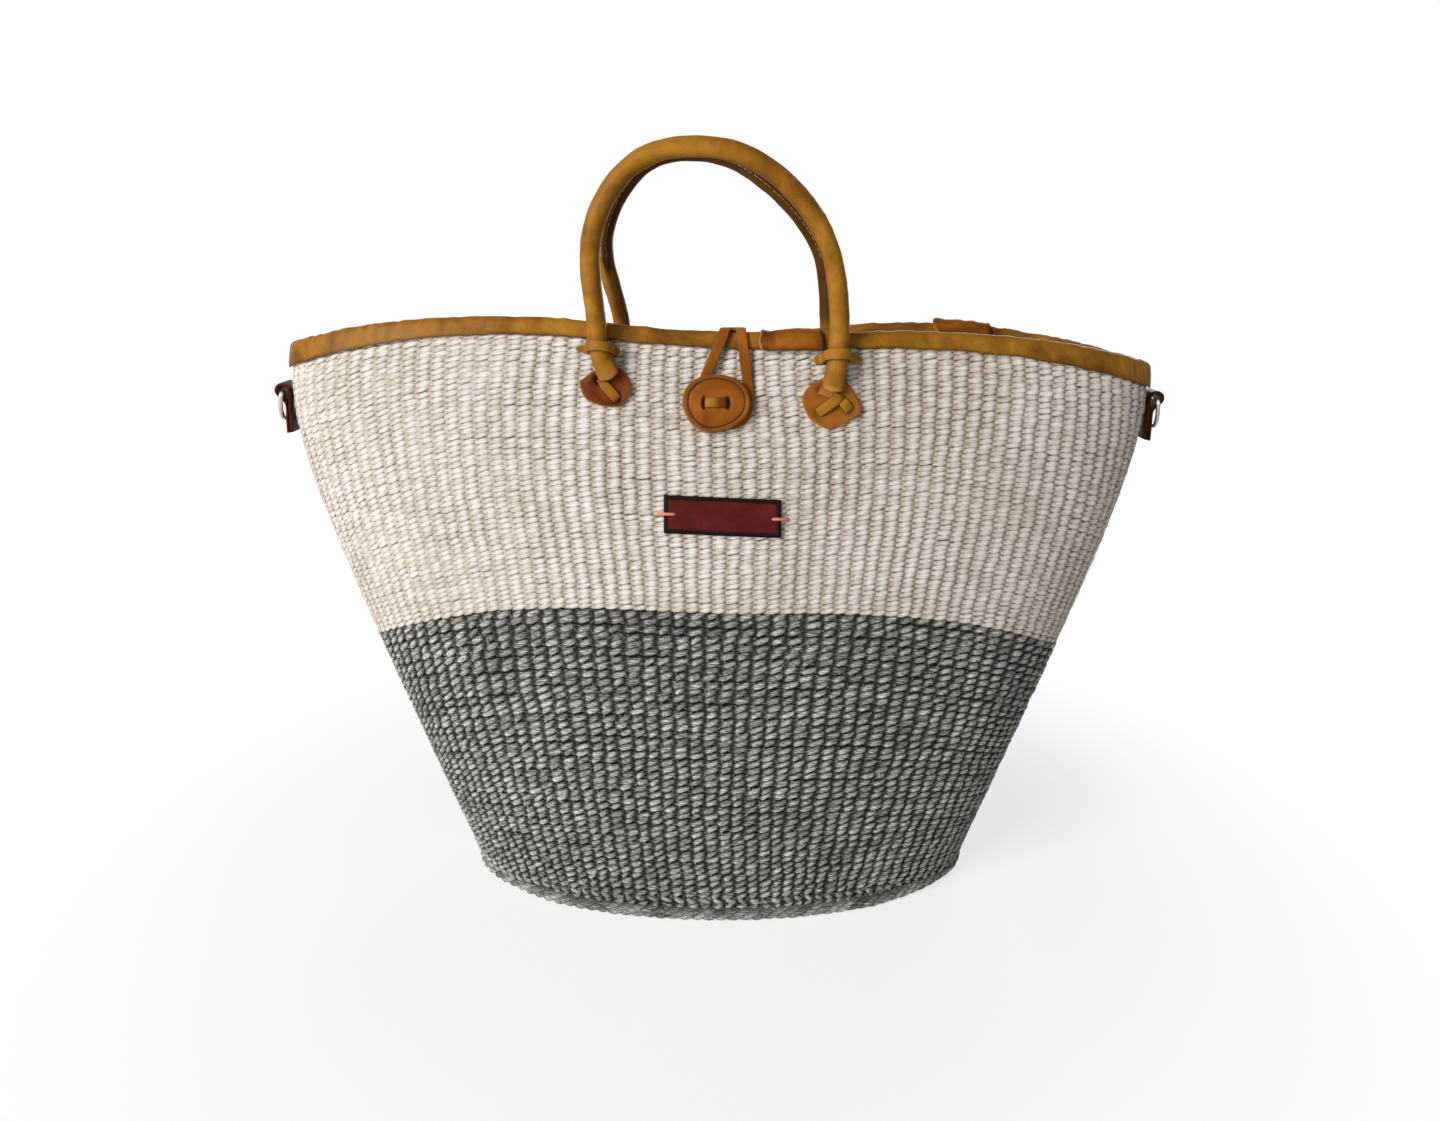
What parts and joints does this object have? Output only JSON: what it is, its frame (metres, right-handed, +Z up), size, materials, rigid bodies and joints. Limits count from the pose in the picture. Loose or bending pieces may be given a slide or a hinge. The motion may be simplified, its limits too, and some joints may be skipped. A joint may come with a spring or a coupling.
{
  "type": "basket bag",
  "caption": "Oval twined sisal basket bag with a flared two-colour body, a rolled leather rim, arched leather handles, a button with a closing loop, a label and side rings.",
  "frame": {"origin": "centre of the underside of the base", "axes": "+Z up, +X along the long side towards the right end as seen from the front, +Y from the front wall to the back wall"},
  "size_m": [0.487, 0.1557, 0.4229],
  "materials": {
    "grey_sisal": "twined, rough",
    "cream_sisal": "twined, rough",
    "rope": "twisted rope",
    "tan_leather": "oiled, semi-gloss",
    "brown_leather": "oiled, semi-gloss",
    "dark_leather": "oiled, semi-gloss",
    "label_leather": "smooth",
    "nickel": "plated wire",
    "brown_thread": "waxed thread",
    "pink_thread": "thread",
    "orange_thread": "thread"
  },
  "bodies": {
    "bag": {"base_panel": "grey_sisal", "base_edge_ridge": "grey_sisal", "wall_grey_band": "grey_sisal", "wall_cream_band": "cream_sisal", "rim_cord": "rope", "rim_binding_left": "tan_leather", "rim_binding_right": "tan_leather", "rim_joint_cover_front": "brown_leather", "rim_joint_cover_back": "brown_leather", "closure_loop": "brown_leather", "label": "label_leather", "label_thread_left": "pink_thread", "label_thread_right": "orange_thread", "right_ring_tab": "dark_leather", "right_tab_thread": "brown_thread", "left_ring_tab": "dark_leather", "left_tab_thread": "brown_thread", "front_left_handle_end": "tan_leather", "front_left_handle_tie": "tan_leather", "front_left_handle_patch": "dark_leather", "front_left_handle_thong": "tan_leather", "front_right_handle_end": "tan_leather", "front_right_handle_tie": "tan_leather", "front_right_handle_patch": "dark_leather", "front_right_handle_thong": "tan_leather", "back_left_handle_end": "tan_leather", "back_left_handle_tie": "tan_leather", "back_left_handle_patch": "dark_leather", "back_left_handle_thong": "tan_leather", "back_right_handle_end": "tan_leather", "back_right_handle_tie": "tan_leather", "back_right_handle_patch": "dark_leather", "back_right_handle_thong": "tan_leather"},
    "front_handle": {"front_handle_cover": "tan_leather", "front_handle_core": "rope"},
    "back_handle": {"back_handle_cover": "tan_leather", "back_handle_core": "rope"},
    "button": {"button_back_disc": "tan_leather", "button_front_disc": "brown_leather", "button_stitching": "brown_thread", "button_thong": "tan_leather"},
    "right_ring": {"right_ring": "nickel"},
    "left_ring": {"left_ring": "nickel"}
  },
  "joints": [
    {"name": "front_handle_swing", "type": "hinge", "parent": "bag", "child": "front_handle", "pos_m": [-0.001, -0.04781, 0.33221], "axis": [1, 0, 0], "range_deg": [-26, 90], "stiffness_Nm_per_rad": 0.1},
    {"name": "back_handle_swing", "type": "hinge", "parent": "bag", "child": "back_handle", "pos_m": [0.003, 0.04899, 0.32412], "axis": [-1, 0, 0], "range_deg": [-26, 90], "stiffness_Nm_per_rad": 0.1},
    {"name": "button_turn", "type": "hinge", "parent": "bag", "child": "button", "pos_m": [-0.002, -0.0493, 0.291], "axis": [-0.0008, -0.9565, 0.2917], "range_deg": [-25, 25], "stiffness_Nm_per_rad": 0.005},
    {"name": "right_ring_swing", "type": "hinge", "parent": "bag", "child": "right_ring", "pos_m": [0.23896, 0, 0.2865], "axis": [0, -1, 0], "range_deg": [0, 150]},
    {"name": "left_ring_swing", "type": "hinge", "parent": "bag", "child": "left_ring", "pos_m": [-0.23905, 0, 0.29083], "axis": [0, 1, 0], "range_deg": [0, 150]}
  ]
}
